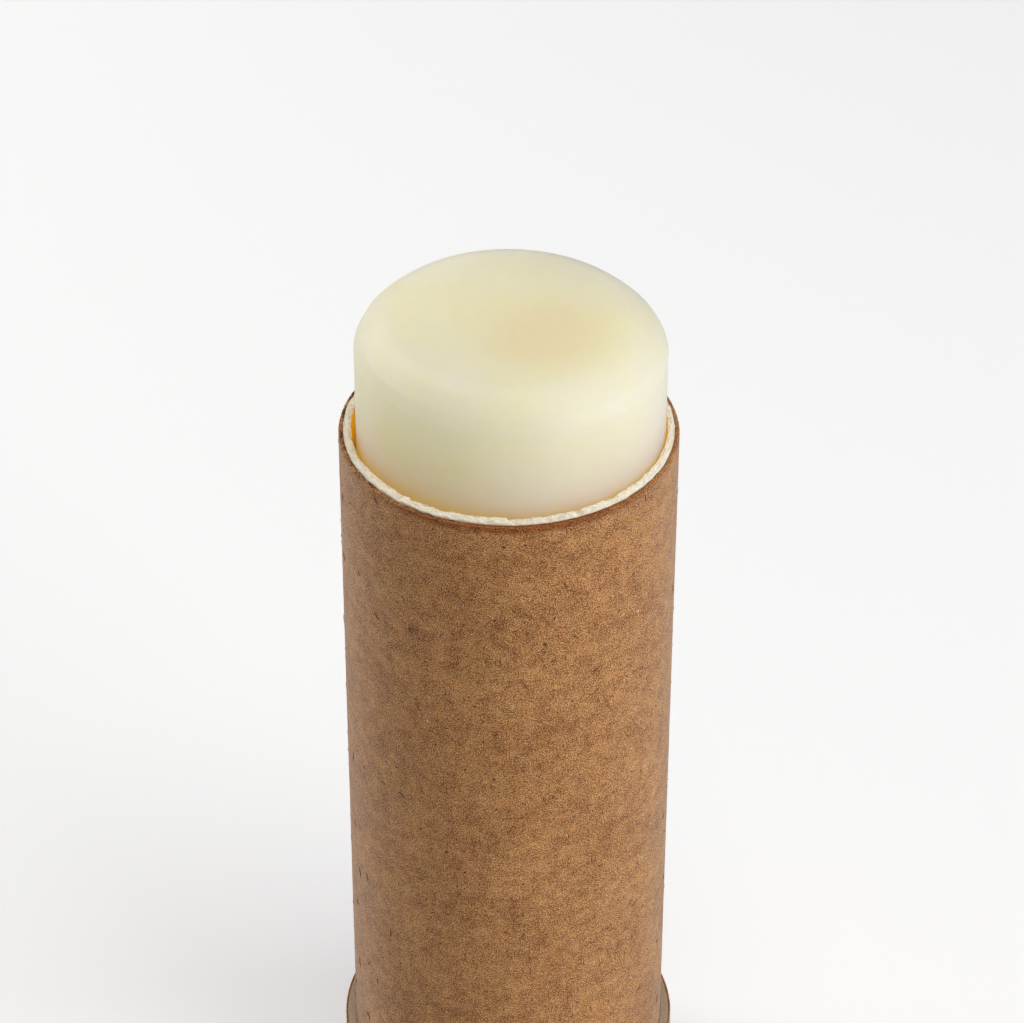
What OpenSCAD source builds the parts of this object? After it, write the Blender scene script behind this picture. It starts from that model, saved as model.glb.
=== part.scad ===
// Push-up balm stick in a paper tube, cap off and balm raised.
// Millimetres, +Z up, origin at the middle of the base.

/* [Tube] */
// Height of the kraft rim above the base
tube_h = 87; // [60:0.5:120]
// Outer diameter over the kraft wrap
tube_d = 32; // [26:0.5:48]
// Thickness of the kraft outer plies
wrap_t = 0.5; // [0.4:0.05:0.9]
// Thickness of the white board core
core_t = 0.6; // [0.4:0.05:1]
// Thickness of the greaseproof inner ply
liner_t = 0.1; // [0.08:0.01:0.2]
// How far the white core's inner edge stands above the kraft rim
core_proud = 0.45; // [0.2:0.05:0.8]
// How far its outer edge stands above the kraft rim, where the cut tore it lower
core_torn = 0.15; // [0.1:0.05:0.8]
// Width of the level part of its top, at the inner edge
core_level = 0.2; // [0.1:0.05:0.35]
// How far the inner ply stands above the kraft rim
liner_proud = 0.15; // [0:0.05:0.2]
// Rounding of the kraft rim's outer edge
rim_round = 0.2; // [0.1:0.05:0.25]

/* [Base collar] */
// Height of the collar
collar_h = 12.4; // [8:0.1:25]
// Thickness of the collar's board
collar_t = 1.05; // [0.8:0.05:1.6]
// Thickness of the collar's kraft outer ply
collar_wrap_t = 0.2; // [0.1:0.05:0.4]
// How far the foot of the tube is necked in to take the collar
collar_neck = 0.2; // [0.16:0.02:0.3]
// Glue gap between the collar and the tube
collar_gap = 0.05; // [0.02:0.01:0.1]

/* [Push-up base] */
// Height of the sliding ring
ring_h = 10; // [8:0.5:16]
// Thickness of the sliding ring
ring_t = 1.2; // [0.8:0.1:2]
// Running clearance between the sliding ring and the inner ply
ring_gap = 0.08; // [0.03:0.01:0.1]
// Height of the ring's lower edge above the base when it is fully down
ring_rise = 1.5; // [0.5:0.1:4]
// Thickness of the pressed disc
disc_t = 0.7; // [0.5:0.05:1.2]
// Bend radius of the disc, outside
disc_round = 1.1; // [0.9:0.05:1.6]
// Depth of the disc's skirt, below the balm
skirt_h = 6.5; // [3:0.5:7.5]

/* [Balm] */
// How far the balm's crest stands out of the kraft rim
balm_out = 12.3; // [4:0.1:40]
// How far below the rim the balm lies when it is fully down
fill_drop = 2; // [0.5:0.1:5]
// Shrinkage gap between the balm and the inner ply, at the radius
balm_gap = 0.27; // [0.2:0.01:0.5]
// Part of that gap by which the balm has settled to one side
balm_settle = 0.7; // [0:0.05:0.7]
// Width of the soft top edge, inwards from the side
edge_w = 3.4; // [2:0.1:6]
// Height of the soft top edge, down from the crest
edge_h = 3.3; // [2:0.1:6]
// Fullness of the soft top edge: 2 is an ellipse, less is flatter
edge_power = 1.55; // [1.3:0.05:2.5]
// Depth of the hollow that the balm cooled into
dish_depth = 0.8; // [0.2:0.05:1.5]
// Lean of the balm's top, in degrees
top_tilt = 0.9; // [0:0.05:2]

/* [Hidden] */
$fn = 96;

wrap_r = tube_d / 2;
core_r = wrap_r - wrap_t;
liner_r = core_r - core_t;
bore_r = liner_r - liner_t;
foot_r = wrap_r - collar_neck;
collar_in_r = foot_r + collar_gap;
collar_board_r = collar_in_r + collar_t;
ring_r = bore_r - ring_gap;
disc_r = ring_r - ring_t;
balm_r = bore_r - balm_gap;
balm_shift = balm_gap * balm_settle;
balm_len = tube_h - fill_drop - ring_h - ring_rise;
balm_top = tube_h + balm_out;
balm_base = balm_top - balm_len;
head_base = balm_top - edge_h;
ring_base = balm_base - ring_h;
edge_steps = 14;
dish_steps = 6;
// Length of side wall kept below the soft edge, so that the leaning top meets the straight side
head_skirt = 1;
// Allowance by which a leaning top is made wider before it is trimmed to the side
trim = 0.05;
slack = 1;

// A ring from an inner to an outer radius, standing on z = base
module band(inner, outer, base, height) {
    translate([0, 0, base])
        difference() {
            cylinder(r = outer, h = height);
            translate([0, 0, -slack])
                cylinder(r = inner, h = height + 2 * slack);
        }
}

// Kraft outer plies, necked in under the collar and softly rounded at the rim's outer edge
module kraft_wrap() {
    color("#b48c64")
        rotate_extrude() {
            translate([core_r, 0])
                square([foot_r - core_r, collar_h]);
            translate([core_r, collar_h])
                square([wrap_t, tube_h - collar_h - rim_round]);
            translate([core_r, collar_h])
                square([wrap_t - rim_round, tube_h - collar_h]);
            translate([wrap_r - rim_round, tube_h - rim_round])
                circle(r = rim_round, $fn = 32);
        }
}

// White board core, standing proud where the tube was cut and torn away to a slope at its outer edge
module board_core() {
    color("#ddd3bd")
        rotate_extrude()
            polygon([
                [liner_r, 0],
                [core_r, 0],
                [core_r, tube_h + core_torn],
                [liner_r + core_level, tube_h + core_proud],
                [liner_r, tube_h + core_proud]
            ]);
}

// Thin greaseproof ply against the balm
module greaseproof_liner() {
    color("#c99a3c")
        band(bore_r, liner_r, 0, tube_h + liner_proud);
}

// Board collar glued round the foot of the tube, bevelled inside where the tube widens above it
module base_collar() {
    color("#b5a48e")
        rotate_extrude()
            polygon([
                [collar_in_r, 0],
                [collar_board_r, 0],
                [collar_board_r, collar_h],
                [collar_in_r + collar_neck, collar_h],
                [collar_in_r, collar_h - collar_neck]
            ]);
}

// Kraft ply round the collar
module collar_wrap() {
    color("#b48c64")
        band(collar_board_r, collar_board_r + collar_wrap_t, 0, collar_h);
}

// Short board ring that slides in the tube
module push_ring() {
    color("#b5a48e")
        band(disc_r, ring_r, ring_base, ring_h);
}

// Board disc pressed to a shallow cup, its skirt glued inside the sliding ring
module push_disc() {
    skirt_z = balm_base - skirt_h;
    bend_z = balm_base - disc_round;
    inner_bend = disc_round - disc_t;
    color("#b48c64")
        rotate_extrude() {
            translate([0, balm_base - disc_t])
                square([disc_r - disc_round, disc_t]);
            translate([disc_r - disc_t, skirt_z])
                square([disc_t, bend_z - skirt_z]);
            translate([disc_r - disc_round, bend_z])
                intersection() {
                    difference() {
                        circle(r = disc_round);
                        circle(r = inner_bend);
                    }
                    square(disc_round);
                }
        }
}

// Height of the soft edge, as a part of edge_h, at a part u of its width from the crest
function edge_height(u) = pow(1 - pow(u, edge_power), 1 / edge_power);

// Half outline of the balm's top about its own axis, with z = 0 at the foot of the soft edge
function top_outline(radius) = concat(
    [for (i = [0 : dish_steps - 1])
        let (u = i / dish_steps, hollow = pow(1 - u * u, 2))
        [u * (radius - edge_w), edge_h - dish_depth * hollow]],
    [for (i = [0 : edge_steps])
        let (u = sin(90 * i / edge_steps))
        [radius - edge_w + u * edge_w, edge_h * edge_height(u)]],
    [[radius, -head_skirt], [0, -head_skirt]]
);

// Solid stick of balm, poured into the tube and pushed up
module balm() {
    color("#e8e2bd")
        translate([balm_shift, 0, 0])
            intersection() {
                translate([0, 0, balm_base])
                    cylinder(r = balm_r, h = balm_len + slack);
                union() {
                    translate([0, 0, balm_base])
                        cylinder(r = balm_r + slack, h = balm_len - edge_h - head_skirt / 2);
                    translate([0, 0, head_base])
                        rotate([0, top_tilt, 0])
                            rotate_extrude()
                                polygon(top_outline(balm_r + trim));
                }
            }
}

kraft_wrap();
board_core();
greaseproof_liner();
base_collar();
collar_wrap();
push_ring();
push_disc();
balm();
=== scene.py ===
"""Looks of a push-up balm stick in a kraft paper tube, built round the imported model, in metres."""

import logging
import math
from dataclasses import dataclass, field
from enum import Enum
from typing import Any, Dict, List, Optional, Sequence, Tuple, Union

import bpy
import numpy as np
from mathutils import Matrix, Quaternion, Vector


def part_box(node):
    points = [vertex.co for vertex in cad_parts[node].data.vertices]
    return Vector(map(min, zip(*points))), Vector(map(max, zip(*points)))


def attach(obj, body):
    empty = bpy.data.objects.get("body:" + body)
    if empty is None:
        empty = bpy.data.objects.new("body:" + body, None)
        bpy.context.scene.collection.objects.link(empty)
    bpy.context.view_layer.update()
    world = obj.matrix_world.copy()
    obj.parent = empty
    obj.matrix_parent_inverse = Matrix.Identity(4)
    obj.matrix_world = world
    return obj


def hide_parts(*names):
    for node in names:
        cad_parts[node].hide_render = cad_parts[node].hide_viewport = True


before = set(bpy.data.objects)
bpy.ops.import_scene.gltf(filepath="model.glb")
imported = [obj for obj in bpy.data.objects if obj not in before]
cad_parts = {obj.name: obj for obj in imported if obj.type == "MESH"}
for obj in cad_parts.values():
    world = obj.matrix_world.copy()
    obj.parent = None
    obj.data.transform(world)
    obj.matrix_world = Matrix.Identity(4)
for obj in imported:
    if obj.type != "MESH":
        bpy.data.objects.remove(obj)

log = logging.getLogger("balm_stick")

MM = 0.001
TURN = 2.0 * math.pi
SEAM = math.pi / 2.0
UV_NAME = "surface_mm"
# How far scattered fibres keep below the rim
RIM_MARGIN = 0.6 * MM
# A pattern's second shift as a part of its first
SIDE_SHIFT = 0.37

Colour = Tuple[float, float, float]


class Body(Enum):
    """The two bodies that pieces ride on."""

    TUBE = "tube"
    PUSH_UP = "push_up"


class Slot(Enum):
    """The record's material slots."""

    KRAFT = "kraft"
    WHITE_BOARD = "white_board"
    GREASEPROOF = "greaseproof"
    GREY_BOARD = "grey_board"
    BALM = "balm"


# Shader expressions

class Socket:
    """An output of a shader node that takes part in Python arithmetic."""

    def __init__(self, graph: "ShaderGraph", socket: bpy.types.NodeSocket) -> None:
        """Keep the graph that new Math nodes go into, and the socket itself."""
        self.graph = graph
        self.socket = socket

    def _math(self, operation: str, first: "Value", second: "Value") -> "Socket":
        """Add one Math node on two values."""
        return self.graph.add("ShaderNodeMath", {"operation": operation}, {0: first, 1: second})

    def __add__(self, other: "Value") -> "Socket":
        """Sum of two values."""
        return self._math("ADD", self, other)

    __radd__ = __add__

    def __sub__(self, other: "Value") -> "Socket":
        """This value less another."""
        return self._math("SUBTRACT", self, other)

    def __rsub__(self, other: "Value") -> "Socket":
        """Another value less this one."""
        return self._math("SUBTRACT", other, self)

    def __mul__(self, other: "Value") -> "Socket":
        """Product of two values."""
        return self._math("MULTIPLY", self, other)

    __rmul__ = __mul__

    def __truediv__(self, other: "Value") -> "Socket":
        """This value divided by another."""
        return self._math("DIVIDE", self, other)

    def __pow__(self, other: "Value") -> "Socket":
        """This value to a power."""
        return self._math("POWER", self, other)

    def step(self, low: float, high: float) -> "Socket":
        """Smooth step of this value.

        Args:
            low: value at which the result is 0.
            high: value at which the result is 1. It may be the smaller of the two.

        Returns:
            A mask from 0 to 1.
        """
        inputs = {"Value": self, "From Min": low, "From Max": high}
        return self.graph.add("ShaderNodeMapRange", {"interpolation_type": "SMOOTHSTEP"}, inputs)

    def most(self, other: "Value") -> "Socket":
        """The larger of two values."""
        return self._math("MAXIMUM", self, other)


Value = Union[Socket, float, int, Sequence[float]]


class ShaderGraph:
    """The node tree of one material or world, with one method that adds any node."""

    def __init__(self, owner: Any) -> None:
        """Empty the owner's node tree and keep it.

        Args:
            owner: the material or world.
        """
        owner.use_nodes = True
        self.tree = owner.node_tree
        self.tree.nodes.clear()

    def feed(self, target: bpy.types.NodeSocket, value: Value) -> None:
        """Link a socket to an input, or set the input to a number or a colour.

        Args:
            target: the node's input.
            value: what goes into it.
        """
        if isinstance(value, Socket):
            self.tree.links.new(value.socket, target)
        elif isinstance(value, (int, float)):
            target.default_value = value
        elif target.type == "RGBA":
            target.default_value = (*value, 1.0)
        else:
            target.default_value = tuple(value)

    def add(
        self,
        kind: str,
        settings: Optional[Dict[str, Any]] = None,
        inputs: Optional[Dict[Union[str, int], Value]] = None,
        output: Union[str, int, None] = 0,
    ) -> Optional[Socket]:
        """Add one node.

        Args:
            kind: the node's type.
            settings: properties that are set before its inputs.
            inputs: values or links, by socket name or number.
            output: the socket to return, by name or number, or None for a node without outputs.

        Returns:
            The chosen output, if any.
        """
        node = self.tree.nodes.new(kind)
        for name, value in (settings or {}).items():
            setattr(node, name, value)
        for name, value in (inputs or {}).items():
            self.feed(node.inputs[name], value)
        return None if output is None else Socket(self, node.outputs[output])

    def mix(self, factor: Value, first: Value, second: Value, blend: str = "MIX") -> Socket:
        """Mix two colours.

        Args:
            factor: how much of the second colour.
            first: colour at factor 0.
            second: colour at factor 1.
            blend: the Mix node's blend type.

        Returns:
            The mixed colour.
        """
        node = self.tree.nodes.new("ShaderNodeMix")
        node.data_type = "RGBA"
        node.blend_type = blend
        for number, value in ((0, factor), (6, first), (7, second)):
            self.feed(node.inputs[number], value)
        return Socket(self, node.outputs[2])

    def uv(self) -> Socket:
        """The piece's own UV map, in millimetres round the tube and along its outline."""
        return self.add("ShaderNodeUVMap", {"uv_map": UV_NAME})

    def place(self) -> Tuple[Socket, Socket, Socket]:
        """Object coordinates as three numbers.

        Returns:
            x, y and z in millimetres.
        """
        coords = self.add("ShaderNodeTexCoord", output="Object")
        parts = self.split(coords)
        return tuple(part * (1.0 / MM) for part in parts)

    def split(self, vector: Socket) -> List[Socket]:
        """The three numbers of a vector or a colour."""
        return [self.add("ShaderNodeSeparateXYZ", inputs={0: vector}, output=axis) for axis in range(3)]

    def noise(self, coords: Socket, scale: float, detail: float = 2.0, rough: float = 0.5) -> Socket:
        """Noise from about 0.2 to 0.8, at a scale in cells per unit of the coordinates."""
        inputs = {"Vector": coords, "Scale": scale, "Detail": detail, "Roughness": rough}
        return self.add("ShaderNodeTexNoise", {}, inputs)

    def turned(self, coords: Socket, angle: float, stretch: Sequence[float], shift: float) -> Socket:
        """Coordinates turned about Z, moved and then stretched, for streaks in one direction.

        Args:
            coords: surface coordinates in millimetres.
            angle: turn in radians.
            stretch: factor along each axis.
            shift: offset that gives each layer its own streaks.

        Returns:
            The new coordinates.
        """
        place, turn = (shift, SIDE_SHIFT * shift, 0.0), (0.0, 0.0, angle)
        inputs = {"Vector": coords, "Location": place, "Rotation": turn}
        spun = self.add("ShaderNodeMapping", {"vector_type": "POINT"}, inputs)
        return self.add("ShaderNodeVectorMath", {"operation": "MULTIPLY"}, {0: spun, 1: stretch})

    def moved(self, coords: Socket, shift: float) -> Socket:
        """Coordinates moved by a shift, for a pattern of its own."""
        inputs = {0: coords, 1: (shift, SIDE_SHIFT * shift, 0.0)}
        return self.add("ShaderNodeVectorMath", {"operation": "ADD"}, inputs)

    def strands(self, coords: Socket, scale: float, shift: float) -> Socket:
        """Thin curved fibres: where smooth noise passes its middle value, broken into short lengths.

        Args:
            coords: surface coordinates in millimetres.
            scale: noise cells per millimetre.
            shift: offset that gives each layer its own fibres.

        Returns:
            A mask, 1 along each fibre.
        """
        level = self.noise(self.moved(coords, shift), scale, 1.0, 0.6)
        off = self.add("ShaderNodeMath", {"operation": "ABSOLUTE"}, {0: level - 0.5})
        lengths = self.noise(self.moved(coords, shift + 11.0), scale * 1.3, 1.0, 0.5)
        return off.step(0.032, 0.008) * lengths.step(0.47, 0.53)

    def strokes(self, coords: Socket, angle: float, shift: float) -> Socket:
        """Short pale strokes in one direction, where stretched noise is high."""
        streaks = self.turned(coords, angle, (2.4, 9.0, 1.0), shift)
        return self.noise(streaks, 1.0, 1.0, 0.5).step(0.56, 0.7)

    def specks(self, coords: Socket, scale: float, share: float, shift: float) -> Socket:
        """Small round specks in a few cells of a Voronoi pattern.

        Args:
            coords: surface coordinates in millimetres.
            scale: cells per millimetre.
            share: part of the cells that hold a speck.
            shift: offset that gives each layer its own specks.

        Returns:
            A mask, 1 in each speck.
        """
        inputs = {"Vector": self.moved(coords, shift), "Scale": scale}
        near, tint = (
            self.add("ShaderNodeTexVoronoi", {"voronoi_dimensions": "2D"}, inputs, output)
            for output in ("Distance", "Color")
        )
        pick, size, _ = self.split(tint)
        reach = (near * (1.0 / scale)) / (0.45 + size * 0.75)
        return reach.step(0.13, 0.08) * pick.step(share + 0.01, share - 0.01)

    def finish(self, **sockets: Value) -> None:
        """End a material in a Principled shader.

        Args:
            **sockets: the shader's inputs, with spaces as underscores.
        """
        node = self.tree.nodes.new("ShaderNodeBsdfPrincipled")
        for name, value in sockets.items():
            self.feed(node.inputs[name.replace("_", " ")], value)
        end = self.tree.nodes.new("ShaderNodeOutputMaterial")
        self.tree.links.new(node.outputs[0], end.inputs["Surface"])

    def bump(self, height: Value, depth: float, strength: float) -> Socket:
        """Bump from a height mask.

        Args:
            height: mask from 0 to 1.
            depth: the relief's full height in metres.
            strength: the Bump node's strength.

        Returns:
            The bent normal.
        """
        inputs = {"Strength": strength, "Distance": depth, "Height": height}
        return self.add("ShaderNodeBump", {}, inputs)


# Finishes

@dataclass(frozen=True)
class Finish:
    """A named look, painted by each kind of finish in its own way."""

    name: str

    def build(self) -> bpy.types.Material:
        """Make the material.

        Returns:
            The material.
        """
        material = bpy.data.materials.new(self.name)
        self._paint(ShaderGraph(material))
        return material

    def _paint(self, graph: ShaderGraph) -> None:
        """Fill the material's graph."""
        raise NotImplementedError


@dataclass(frozen=True)
class KraftFinish(Finish):
    """Uncoated brown kraft: pressed fibres in every direction, cloudy tone, dark and pale specks.

    Each noise's cells are counted per millimetre.
    """

    light: Colour = (0.82, 0.46, 0.19)
    middle: Colour = (0.41, 0.155, 0.036)
    dark: Colour = (0.11, 0.03, 0.005)
    red: Colour = (0.37, 0.112, 0.03)
    olive: Colour = (0.315, 0.142, 0.028)
    dark_speck: Colour = (0.04, 0.012, 0.004)
    pale_speck: Colour = (0.88, 0.8, 0.64)
    oil: Colour = (0.58, 0.38, 0.2)
    # painted shade, partly stain, in the groove between the kraft and the white core
    crack_shade: Colour = (0.05, 0.018, 0.006)
    cloud_cells: float = 0.14
    patch_cells: float = 0.7
    hue_cells: float = 0.32
    grain_cells: float = 7.0
    fine_cells: float = 13.0
    rim_height: Optional[float] = None

    def _paint(self, graph: ShaderGraph) -> None:
        """Fill the material's graph.

        Args:
            graph: the material's empty node tree.
        """
        uv = graph.uv()
        waves = {"Vector": uv, "Scale": 1.6, "Detail": 1.0}
        bend = graph.add("ShaderNodeTexNoise", {}, waves, "Color")
        inputs = {0: bend, 1: (0.7, 0.7, 0.0), 2: uv}
        bent = graph.add("ShaderNodeVectorMath", {"operation": "MULTIPLY_ADD"}, inputs)
        cloud = graph.noise(uv, self.cloud_cells, 2.0, 0.6)
        patch = graph.noise(uv, self.patch_cells, 4.0, 0.6)
        hue = graph.noise(graph.moved(uv, 41.0), self.hue_cells, 5.0, 0.75)
        grain = graph.noise(uv, self.grain_cells, 1.0, 0.6)
        pale = graph.strands(bent, 1.5, 3.0).most(graph.strands(bent, 2.1, 19.0))
        shade = graph.strands(bent, 1.7, 57.0).most(graph.strands(bent, 1.2, 83.0))
        fine = graph.noise(uv, self.fine_cells, 1.0, 0.6)
        broad = (cloud - 0.5) * 0.6 + (patch - 0.5) * 1.2
        tone = 0.5 + broad + (grain - 0.5) * 3.1 + (fine - 0.5) * 4.2
        strokes = graph.strokes(bent, 0.5, 3.0).most(graph.strokes(bent, 2.2, 37.0))
        tone = tone + pale * 0.25 - shade * 0.3 + strokes * 0.25
        ground = graph.mix(hue.step(0.5, 0.66) * 0.7, self.middle, self.red)
        ground = graph.mix(hue.step(0.5, 0.34) * 0.6, ground, self.olive)
        colour = graph.mix(tone.step(-0.15, 0.52), self.dark, ground)
        colour = graph.mix(tone.step(0.46, 1.15), colour, self.light)
        colour = graph.mix(graph.specks(bent, 1.05, 0.1, 7.0) * 0.9, colour, self.dark_speck)
        colour = graph.mix(graph.specks(bent, 0.6, 0.035, 29.0) * 0.75, colour, self.pale_speck)
        # Near the rim: a real oil stain, and painted shade, partly stain, in the groove against the
        # core
        if self.rim_height is not None:
            colour = self._oil_stain_and_crack_shade(graph, uv, colour)
        relief = graph.bump(0.5 + pale * 0.3 - shade * 0.2 + (grain - 0.5) * 1.2, 0.00006, 0.8)
        graph.finish(
            Base_Color=colour,
            Roughness=0.72 - pale * 0.08,
            Normal=relief,
            Specular_IOR_Level=0.3,
            Sheen_Weight=0.5,
            Sheen_Roughness=0.35,
        )

    def _oil_stain_and_crack_shade(self, graph: ShaderGraph, uv: Socket, colour: Socket) -> Socket:
        """Darken the paper's colour where oil has soaked in from the cut edge, most at the front.

        Args:
            graph: the material's node tree.
            uv: surface coordinates in millimetres.
            colour: the dry paper's colour.

        Returns:
            The stained colour, with painted shade, partly stain, in the groove along the rim's inner
            edge, strongest at the left.
        """
        across, along, up = graph.place()
        depth = self.rim_height / MM - up
        edge = graph.noise(uv, 1.4, 2.0, 0.6)
        front = (along * -1.0).step(8.0, 15.5) * 0.75 + 0.25
        soaked = (depth - (edge - 0.5) * 1.6).step(0.95, 0.3) * front
        stained = graph.mix(1.0, colour, self.oil, "MULTIPLY")
        colour = graph.mix(soaked, colour, stained)
        outward = (across * across + along * along) ** 0.5
        left = (across * -1.0).step(2.0, 8.0)
        bits = graph.noise(uv, 1.9, 2.0, 0.6).step(0.46, 0.58)
        # Painted shade, partly stain, in the groove along the core, strongest and broken into bits at
        # the left
        crack_shade = (outward + left * bits * -0.16).step(15.78, 15.6) * depth.step(0.6, 0.2)
        return graph.mix(crack_shade * (0.25 + left * bits * 0.7), colour, self.crack_shade)


@dataclass(frozen=True)
class BoardFinish(Finish):
    """Soft board seen at a cut edge or on a bare face: short fibres, faint layers and stains."""

    base: Colour
    fibre: Colour
    stain: Colour
    stain_share: float = 0.3
    softness: float = 0.0

    def _paint(self, graph: ShaderGraph) -> None:
        """Fill the material's graph.

        Args:
            graph: the material's empty node tree.
        """
        uv = graph.uv()
        cloud = graph.noise(uv, 0.7, 3.0, 0.6)
        fibres = graph.noise(graph.turned(uv, 0.06, (1.6, 9.0, 1.0), 4.0), 1.0, 3.0, 0.65)
        cross = graph.noise(graph.turned(uv, 1.2, (2.0, 8.0, 1.0), 17.0), 1.0, 2.0, 0.6)
        mass = fibres * 0.6 + cross * 0.4
        colour = graph.mix(mass.step(0.36, 0.66), self.fibre, self.base)
        colour = graph.mix(cloud.step(0.58, 0.74) * self.stain_share, colour, self.stain)
        relief = graph.bump(mass, 0.00005, 0.6)
        graph.finish(
            Base_Color=colour,
            Roughness=0.85,
            Normal=relief,
            Specular_IOR_Level=0.3,
            Subsurface_Weight=self.softness,
            Subsurface_Radius=(1.0, 0.9, 0.75),
            Subsurface_Scale=0.5 * MM,
        )


@dataclass(frozen=True)
class LinerFinish(Finish):
    """Greaseproof ply soaked with oil: amber, smooth and a little glossy, with a painted glow near the
    rim for light that comes through the balm.
    """

    rim_height: float
    amber: Colour = (0.8, 0.48, 0.02)
    deep: Colour = (0.7, 0.36, 0.012)
    # Painted glow near the rim: stands in for light that comes through the balm into the gap
    glow: Colour = (0.8, 0.42, 0.01)
    painted_glow_depth: float = 8.0

    def _paint(self, graph: ShaderGraph) -> None:
        """Fill the material's graph.

        Args:
            graph: the material's empty node tree.
        """
        uv = graph.uv()
        cloud = graph.noise(uv, 0.5, 3.0, 0.6)
        colour = graph.mix(cloud.step(0.35, 0.65), self.amber, self.deep)
        relief = graph.bump(graph.noise(uv, 3.0, 2.0, 0.5), 0.00003, 0.3)
        # Painted glow, strongest at the rim and fading out downwards, for light that comes through the
        # balm
        depth = self.rim_height / MM - graph.place()[2]
        painted_glow_share = depth.step(self.painted_glow_depth, 0.0)
        graph.finish(
            Base_Color=colour,
            Roughness=0.38,
            Normal=relief,
            Specular_IOR_Level=0.5,
            Emission_Color=graph.mix(painted_glow_share, (0.0, 0.0, 0.0), self.glow),
            Emission_Strength=0.32,
        )


@dataclass(frozen=True)
class BalmFinish(Finish):
    """Waxy balm: light sinks in and spreads, with a soft satin surface, faint cloudiness and painted
    shade as a warmer tint on the hollow's right-front slope.
    """

    pale: Colour = (0.965, 0.885, 0.67)
    creamy: Colour = (0.955, 0.85, 0.6)
    # painted shade: warmer, darker colour of the hollow's slope that faces away from the window light
    painted_hollow_shade: Colour = (0.945, 0.755, 0.52)
    spread: Colour = (1.0, 0.96, 0.45)
    reach: float = 0.026
    painted_shade_middle: Tuple[float, float] = (4.0, -2.5)

    def _paint(self, graph: ShaderGraph) -> None:
        """Fill the material's graph.

        Args:
            graph: the material's empty node tree.
        """
        coords = graph.add("ShaderNodeTexCoord", output="Object")
        cloud = graph.noise(coords, 130.0, 3.0, 0.55)
        fine = graph.noise(coords, 900.0, 3.0, 0.6)
        colour = graph.mix(cloud.step(0.3, 0.7), self.pale, self.creamy)
        # Painted shade: a warmer, darker tint round a point right of and in front of the axis, on the
        # hollow's slope away from the light
        across, along, _ = graph.place()
        away_x, away_y = across - self.painted_shade_middle[0], along - self.painted_shade_middle[1]
        away = (away_x * away_x + away_y * away_y) ** 0.5 + (cloud - 0.5) * 6.0
        colour = graph.mix(away.step(9.5, 2.0) * 0.85, colour, self.painted_hollow_shade)
        relief = graph.bump(cloud * 0.7 + fine * 0.3, 0.00006, 0.2)
        graph.finish(
            Base_Color=colour,
            Roughness=0.45 + (fine - 0.5) * 0.12,
            Normal=relief,
            Subsurface_Weight=1.0,
            Subsurface_Radius=self.spread,
            Subsurface_Scale=self.reach,
            IOR=1.44,
            Specular_IOR_Level=0.26,
        )


# Surfaces

def smooth_mesh(name: str, vertices: np.ndarray, faces: List[Any]) -> bpy.types.Mesh:
    """Make a smooth-shaded mesh.

    Args:
        name: the mesh's name.
        vertices: its points.
        faces: each face's point numbers.

    Returns:
        The mesh.
    """
    mesh = bpy.data.meshes.new(name)
    mesh.from_pydata(vertices.tolist(), [], faces)
    mesh.polygons.foreach_set("use_smooth", np.ones(len(mesh.polygons), dtype=bool))
    mesh.update()
    return mesh


def ring_angles(count: int) -> np.ndarray:
    """Angles once round the tube, anticlockwise from the seam at the back."""
    return SEAM + TURN * np.arange(count) / count


def camera_degrees(count: int) -> np.ndarray:
    """Degrees from the camera's side towards the right, -180 to 180, at each angle round the tube."""
    return (np.degrees(ring_angles(count)) + 270.0) % 360.0 - 180.0


def lattice_noise(seed: int, cells: Tuple[int, int], shape: Tuple[int, int]) -> np.ndarray:
    """Smooth noise on a grid, closed on itself round the ring.

    Random heights from -1 to 1 stand on a lattice, and a point between takes them by the smooth
    weight t * t * (3 - 2 t) in each direction.

    Args:
        seed: seed of the heights.
        cells: lattice cells across the rows and round the columns.
        shape: rows and columns of the grid.

    Returns:
        Heights, rows by columns.
    """
    rng = np.random.default_rng(seed)
    heights = rng.uniform(-1.0, 1.0, (cells[0] + 1, cells[1]))
    row_at = np.linspace(0.0, cells[0], shape[0])
    col_at = np.arange(shape[1]) * cells[1] / shape[1]
    row_low = np.minimum(row_at.astype(int), cells[0] - 1)
    col_low = col_at.astype(int)
    row_part, col_part = (row_at - row_low)[:, None], (col_at - col_low)[None, :]
    row_weight = row_part * row_part * (3.0 - 2.0 * row_part)
    col_weight = col_part * col_part * (3.0 - 2.0 * col_part)
    rows = heights[:, col_low] * (1.0 - col_weight) + heights[:, (col_low + 1) % cells[1]] * col_weight
    return rows[row_low] * (1.0 - row_weight) + rows[row_low + 1] * row_weight


def layered_noise(shape: Tuple[int, int], *layers: Tuple[int, Tuple[int, int], float]) -> np.ndarray:
    """Sum of several sizes of lattice noise.

    Args:
        shape: rows and columns of the grid.
        *layers: each one's seed, cells and depth in millimetres.

    Returns:
        Heights in metres, rows by columns.
    """
    return sum(lattice_noise(seed, cells, shape) * (depth * MM) for seed, cells, depth in layers)


def ring_noise(seed: int, cells: int, count: int) -> np.ndarray:
    """One row of lattice noise, round the ring only."""
    return lattice_noise(seed, (1, cells), (2, count))[0]


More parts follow.
